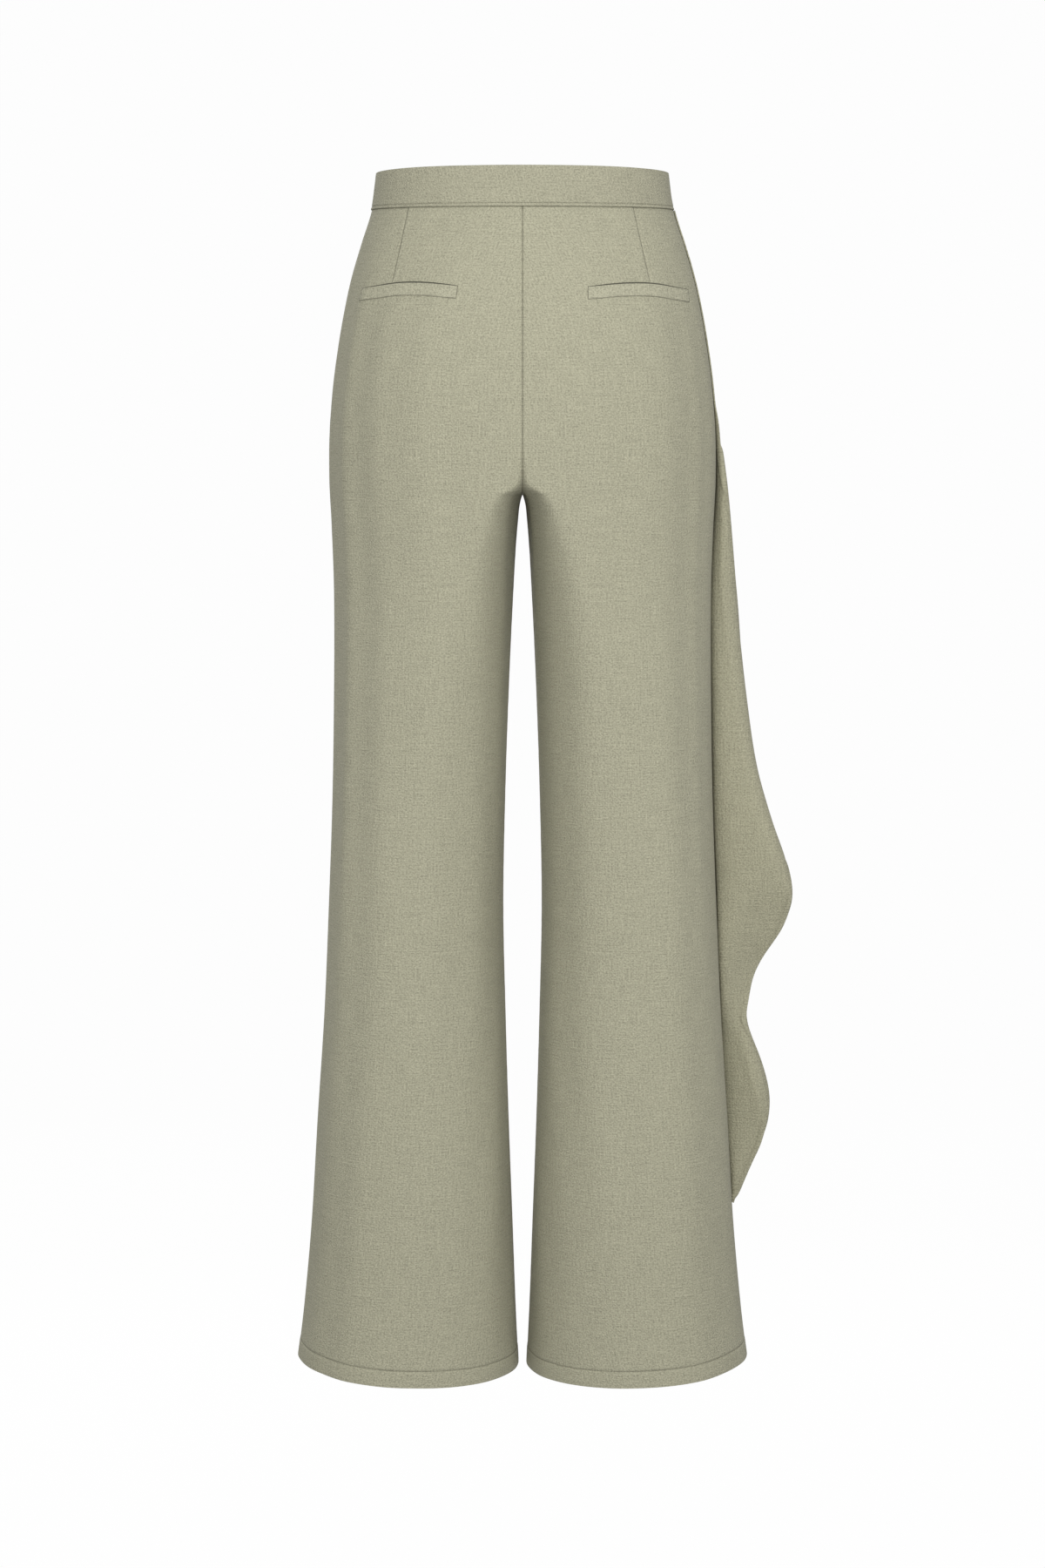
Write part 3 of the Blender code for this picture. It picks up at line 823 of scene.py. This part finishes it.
def makeWelt(word):
    side = 1 if word == "left" else -1
    look = welt[word]
    length = look["outer"] - look["inner"]
    edge = np.array(welt["edge"])
    inside = np.linspace(3.5, length - 3.5, welt["columns"])
    along = np.concatenate([edge, inside, length - edge[::-1]]) / length
    mouth = -welt["mouth"] * np.array(welt["mouthRows"])
    middle = np.linspace(3, welt["height"] - 3, welt["rows"])
    down = np.concatenate([mouth, edge, middle, welt["height"] - edge[::-1]])
    along, down = along[None, :], down[:, None]
    share = down / welt["height"]
    x = look["inner"] + length * along + mix(look["lean"][0], look["lean"][1], along) * share
    arch = welt["arch"] * np.sin(np.pi * along) ** welt["archTurn"]
    gape = np.sin(np.pi * np.clip(along, 0.01, 0.99)) ** welt["gapeTurn"]
    heights = (look["top"] + arch - np.where(down < 0, down * gape, down)) * mm
    places = shareAt(x * mm + 0 * heights, heights, "back")
    surface = surfaces[f"back_{word}"]
    under = np.array(
        [
            [surfaceAt(surface, place, height) for place, height in zip(*pair)]
            for pair in zip(places, heights)
        ]
    )
    normals = under[:, :, 1] / np.linalg.norm(under[:, :, 1], axis=2, keepdims=True)
    points = under[:, :, 0] + normals * welt["lift"] * mm
    fromEnd = np.minimum(along, 1 - along) * length
    fromFoot = welt["height"] - down
    rise = welt["body"] * smoothStep(*welt["bodyRun"], fromEnd)
    rise = rise * smoothStep(*welt["bodyRun"], fromFoot)
    lip = welt["lip"] * smoothStep(*welt["lipRun"], down) * smoothStep(*welt["lipEnds"], fromEnd)
    rise = (rise + lip) * smoothStep(*welt["mouthRun"], down)
    points = points + normals * rise[:, :, None] * mm
    # Painted shade at the ends and the foot, and a mouth painted fully dark as the shade of the opening
    endLine = bell(fromEnd, welt["endLineWidth"])
    lines = np.maximum(endLine, bell(fromFoot, welt["footLineWidth"])) * welt["line"]
    paintedShade = np.maximum(lines, smoothStep(*welt["mouthShade"], down) + 0 * lines)
    wall = np.full(paintedShade.shape, welt["wall"] * mm)
    uv = np.stack([x * mm + 0 * heights, heights], axis=2)
    return clothShell(
        f"welt{word.title()}", points, normals, wall, weltCloth, uv, paintedShade, welt["rim"]
    )


for word in ("left", "right"):
    panels[f"welt_{word}"] = makeWelt(word)
print("welts made")

# Wrap panel: lies over both fronts, turns round the right side and flares in two lobes
wrap = {
    "gap": 2.5,
    "sewnGap": 0.7,
    "sewnDepth": 110,
    "left": 72,
    "hip": -190,
    "turn": 50,
    "bottom": -909,
    "tail": 22,
    "waves": 2.5,
    "waveOut": 16,
    "waveReach": 0.722,
    "waveSmooth": 0.5,
    "waveAcross": 7,
    "curlRadius": 12,
    "curlMost": math.radians(150),
    "overColumns": 58,
    "sideColumns": 84,
    "topRows": 16,
    "rows": 252,
    "even": 5,
    "sewnRows": -60,
    "topFade": 80,
    "folds": ((0.5, 58, 0.2, 93), (0.35, 31, 0, 70)),
    "calm": (20, 120),
    "calmEdges": (2, 16),
    "hem": 4.6,
    "hemTurn": 0.6,
    "hemThinner": 0.3,
    # Painted shade along the top of the free edge's turned hem
    "hemLineShade": 0.25,
    "hemLineWidth": 0.6,
    "looseRun": (170, 260),
    "free": -200,
}


def wrapProud(height, share, side):
    gap = mix(
        wrap["sewnGap"],
        wrap["gap"],
        smoothStep(0, wrap["sewnDepth"] * mm, -cut["bandHalf"] * mm - height),
    )
    if side < 0:
        sewn = 1 - smoothStep(-wrap["hip"] * mm, (60 - wrap["hip"]) * mm, -height)
        gap = mix(gap, wrap["sewnGap"], sewn * smoothStep(0.6, 0.95, share))
    return (cut["cloth"] + gap) * mm


# The line that a taut sheet takes over both fronts, from the left side to the right
def frontCover(height):
    share = np.linspace(0, 1, 121)
    points = []
    for side in (1, -1):
        run = share[::-1] if side == 1 else share
        x, y = bodyPoint(run, np.full(run.shape, height), "front", wrapProud(height, run, side))
        points += list(zip(side * x, -y))
    cover = []
    for point in points:
        while len(cover) > 1 and turnsIn(cover[-2], cover[-1], point):
            cover.pop()
        cover.append(point)
    return cover


def turnsIn(first, second, third):
    ax, ay = second[0] - first[0], second[1] - first[1]
    bx, by = third[0] - first[0], third[1] - first[1]
    return ax * by - ay * bx >= 0


# The line before and after one coordinate passes a value
def cutLine(line, axis, value, rising):
    for i, (first, second) in enumerate(zip(line, line[1:])):
        low, high = (first, second) if rising else (second, first)
        if low[axis] < value <= high[axis]:
            share = (value - first[axis]) / (second[axis] - first[axis])
            point = (mix(first[0], second[0], share), mix(first[1], second[1], share))
            return line[: i + 1] + [point], [point] + line[i + 1 :]
    return line, line[-1:]


def soften(line, passes):
    for _ in range(passes):
        made = [line[0]]
        for first, second in zip(line, line[1:]):
            for share in (0.25, 0.75):
                made.append((mix(first[0], second[0], share), mix(first[1], second[1], share)))
        line = made + [line[-1]]
    return line


def spread(line, count):
    line = np.array(line)
    arc = np.insert(np.cumsum(np.linalg.norm(np.diff(line, axis=0), axis=1)), 0, 0)
    places = np.linspace(0, arc[-1], count + 1)
    return np.stack([np.interp(places, arc, line[:, k]) for k in range(2)], axis=1)


def wrapFall(height):
    top = -cut["bandHalf"] * mm
    return np.clip((top - height) / (top - wrap["bottom"] * mm), 0, 1)


# One level section: over the fronts from the free edge, then round the side and out
def wrapSection(height):
    size = {name: float(tableValue(flare, height, name)) for name in flare["columns"][1:]}
    fall = wrapFall(height)
    lowest = float(tableValue(flare, wrap["bottom"] * mm, "reach"))
    wave = math.sin(2 * math.pi * wrap["waves"] * fall) * math.sin(math.pi * fall)
    edge = mix(wrap["left"] * mm, wrap["tail"] * mm - lowest, fall**0.92)
    edge += wrap["waveAcross"] * mm * wave
    _, line = cutLine(frontCover(height), 0, edge, False)
    over, line = cutLine(line, 1, -wrap["turn"] * mm, True)
    side, _ = cutLine(line, 1, size["root"], True)
    curl = size["curl"]
    radius = min(wrap["curlRadius"] * mm, 0.6 * curl)
    reach = size["reach"] - min(cut["cloth"] * mm, curl)
    fold = size["fold"]
    if height <= wrap["hip"] * mm and reach - radius >= 0.3 * mm - side[-1][0]:
        side = soften(side[:-6] + [side[-1], (radius - reach, fold)], 3)
        if curl > 1 * mm:
            turn = min(curl / radius, wrap["curlMost"])
            for angle in np.linspace(0, turn, 13)[1:]:
                x = radius - reach - radius * math.sin(angle)
                side.append((x, fold - radius + radius * math.cos(angle)))
            rest = curl - radius * turn
            x, y = side[-1]
            side.append((x - rest * math.cos(turn), y - rest * math.sin(turn)))
    return np.concatenate(
        [spread(over, wrap["overColumns"]), spread(side, wrap["sideColumns"])[1:]]
    )


# Evens out a grid from row to row, keeping its first and last rows
def evenRows(points, passes):
    for _ in range(passes):
        points[1:-1] = (points[:-2] + 2 * points[1:-1] + points[2:]) / 4
    return points


def lineFromEdge(points, normals, arc, distance):
    line, ups = [], []
    for j in range(len(points)):
        place = distance if distance > 0 else arc[j, -1] + distance
        line.append([np.interp(place, arc[j], points[j, :, k]) for k in range(3)])
        ups.append([np.interp(place, arc[j], normals[j, :, k]) for k in range(3)])
    return np.array(line), np.array(ups)


def makeWrap():
    top = -(cut["bandHalf"] + 0.3) * mm
    sewn = wrap["sewnRows"] * mm
    upper = np.linspace(top, sewn, wrap["topRows"])[:-1]
    lower = np.linspace(sewn, wrap["bottom"] * mm, wrap["rows"] - wrap["topRows"] + 2)
    rows = np.concatenate([upper, lower])
    flat = evenRows(np.stack([wrapSection(height) for height in rows]), wrap["even"])
    columns = flat.shape[1] - 1
    fall = wrapFall(rows)[:, None]
    along = np.linspace(0, 1, columns + 1)[None, :]
    wave = np.sin(2 * np.pi * wrap["waves"] * fall) ** 2
    wave = wave * np.sin(np.pi * fall) ** wrap["waveSmooth"]
    over = wrap["overColumns"] / columns
    lift = wrap["waveOut"] * mm * wave * (1 - smoothStep(0, wrap["waveReach"] * over, along))
    x = flat[:, :, 0]
    y = flat[:, :, 1] - lift
    half = float(tableValue(body, top, "halfWidth"))
    dip = cut["bandDrop"] * mm * np.sqrt(np.clip(1 - (x / half) ** 2, 0, 1))
    reach = wrap["topFade"] * mm
    heights = rows[:, None] - dip * np.clip((rows + reach) / (top + reach), 0, 1)[:, None]
    points = np.stack([x, y, heights], axis=2)
    normals = gridNormals(points, np.stack([0 * x, 0 * x - 1, 0 * x], axis=2))
    arc = rowArc(points)
    fromEdge = (arc[:, -1:] - arc) / mm
    fromFront = arc / mm
    level = heights / mm
    (amount, spacing, sway, length), (crossAmount, crossSpacing, _, crossLength) = wrap["folds"]
    soft = amount * np.sin(2 * np.pi * (fromEdge / spacing + sway * np.sin(level / length)))
    soft += crossAmount * np.sin(fromFront / crossSpacing + level / crossLength)
    nearest = np.minimum(fromEdge, fromFront)
    calm = smoothStep(*wrap["calm"], -level) * smoothStep(*wrap["calmEdges"], nearest)
    points = points + normals * (soft * calm)[:, :, None] * mm

    hem, turn = wrap["hem"], wrap["hemTurn"]
    loose = smoothStep(*wrap["looseRun"], -level)
    hemmed = (1 - smoothStep(hem - turn, hem + turn, fromEdge)) * loose
    hemmed = np.maximum(hemmed, 1 - smoothStep(hem - turn, hem + turn, fromFront))
    wall = mix(cut["cloth"], cut["hemWall"] - wrap["hemThinner"], hemmed) * mm
    # Painted shade along the top of the free edge's turned hem
    paintedShade = wrap["hemLineShade"] * bell(fromEdge - hem, wrap["hemLineWidth"]) * loose
    turned = wrap["overColumns"]
    uv = np.stack([arc - arc[:, turned : turned + 1], heights], axis=2)
    piece = clothShell("wrapPanel", points, normals, wall, wrapCloth, uv, paintedShade)

    free = rows < wrap["free"] * mm
    line, ups = lineFromEdge(points, normals, arc, -hem * mm)
    behind = -(cut["cloth"] + 0.05) * mm
    runs = [sewLine((line + ups * behind)[free], -ups[free], sewing)]
    runs.append(sewLine(line[free], ups[free], sewing))
    line, ups = lineFromEdge(points, normals, arc, hem * mm)
    runs.append(sewLine(line, ups, sewing))
    return piece, threadPiece("wrapStitches", runs, thread)


panels["wrap_panel"], wrapStitches = makeWrap()
print("wrap panel made")

# What each piece stands for, and its cut: width, length and flat area in metres
cuts = {
    "back_left": {"slot": "cloth", "flat": (0.332, 1.040), "area": 0.285, "held": "hung"},
    "back_right": {"slot": "cloth", "flat": (0.332, 1.040), "area": 0.285, "held": "hung"},
    "front_left": {"slot": "cloth", "flat": (0.325, 1.040), "area": 0.280, "held": "hung"},
    "front_right": {"slot": "cloth", "flat": (0.325, 1.040), "area": 0.280, "held": "hung"},
    "waistband": {"slot": "band_cloth", "flat": (0.743, 0.035), "area": None, "held": "stretched"},
    "welt_left": {"slot": "welt_cloth", "flat": (0.087, 0.015), "area": None, "held": "laid"},
    "welt_right": {"slot": "welt_cloth", "flat": (0.090, 0.015), "area": None, "held": "laid"},
    "wrap_panel": {"slot": "wrap_cloth", "flat": (0.263, 0.895), "area": 0.180, "held": "hung"},
}
stitches = {"back_left": hemStitches, "waistband": bandStitches, "wrap_panel": wrapStitches}
for name, piece in panels.items():
    look = cuts[name]
    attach(piece, "root")
    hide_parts(name)
    if name in stitches:
        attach(stitches[name], "root")

# Studio: a pale bowl of floor and wall, and soft light from the camera's side
studio = {
    "floor": -1.42,
    "radius": 7.0,
    "turn": 2.5,
    "wall": 4.0,
    "seen": 0.97,
    "soft": 0.46,
    "world": 0.8,
}


def makeBowl():
    shape = bmesh.new()
    profile = [(0.0, 0.0)]
    flat = studio["radius"] - studio["turn"]
    profile.append((flat, 0.0))
    for angle in np.linspace(0, np.pi / 2, 17)[1:]:
        profile.append((flat + studio["turn"] * math.sin(angle), studio["turn"] * (1 - math.cos(angle))))
    profile.append((studio["radius"], studio["turn"] + studio["wall"]))
    verts = [shape.verts.new((r, 0, studio["floor"] + h)) for r, h in profile]
    edges = [shape.edges.new(pair) for pair in zip(verts, verts[1:])]
    bmesh.ops.spin(
        shape,
        geom=verts + edges,
        cent=(0, 0, 0),
        axis=(0, 0, 1),
        angle=2 * math.pi,
        steps=96,
        use_merge=True,
    )
    bmesh.ops.remove_doubles(shape, verts=shape.verts[:], dist=1e-4)
    bmesh.ops.recalc_face_normals(shape, faces=shape.faces[:])
    centre = min(shape.faces, key=lambda face: face.calc_center_median().length)
    if centre.normal.z < 0:
        bmesh.ops.reverse_faces(shape, faces=shape.faces[:])
    data = bpy.data.meshes.new("studio_bowl")
    shape.to_mesh(data)
    shape.free()
    data.shade_smooth()
    data.materials.append(bowlMaterial(studio))
    piece = bpy.data.objects.new("studio_bowl", data)
    bpy.context.scene.collection.objects.link(piece)
    return piece


makeBowl()
world = bpy.data.worlds.new("studio")
bpy.context.scene.world = world
world.use_nodes = True
sky = world.node_tree.nodes["Background"]
sky.inputs["Color"].default_value = (1, 1, 1, 1)
sky.inputs["Strength"].default_value = studio["world"]

lights = (
    {"name": "key", "size": 1.9, "power": 21, "place": (-0.2, 1.75, 0.32), "aim": (0, 0, -0.2)},
    {"name": "fill", "size": 0.6, "power": 19, "place": (-0.1, 2.8, 0.05), "aim": (0, 0, -0.3)},
    {"name": "frontKey", "size": 1.9, "power": 20, "place": (0.3, -1.75, 0.1), "aim": (0, 0, -0.35)},
    {"name": "frontFill", "size": 0.6, "power": 16, "place": (0.6, -3.0, 0.1), "aim": (0, 0, -0.5)},
)
for look in lights:
    data = bpy.data.lights.new(look["name"], "AREA")
    data.shape = "SQUARE"
    data.size = look["size"]
    data.energy = look["power"]
    lamp = bpy.data.objects.new(look["name"], data)
    lamp.location = look["place"]
    aim = Vector(look["aim"]) - lamp.location
    lamp.rotation_euler = aim.to_track_quat("-Z", "Y").to_euler()
    lamp.visible_camera = False
    bpy.context.scene.collection.objects.link(lamp)

view = {"place": (0, 3.30, -0.2138), "tilt": 84.6233, "lens": 85}
data = bpy.data.cameras.new("camera")
data.lens = view["lens"]
data.sensor_width = 36
camera = bpy.data.objects.new("camera", data)
camera.location = view["place"]
camera.rotation_euler = (math.radians(view["tilt"]), 0, math.radians(180))
bpy.context.scene.collection.objects.link(camera)
bpy.context.scene.camera = camera
bpy.context.scene.view_settings.view_transform = "Standard"
print("studio made")
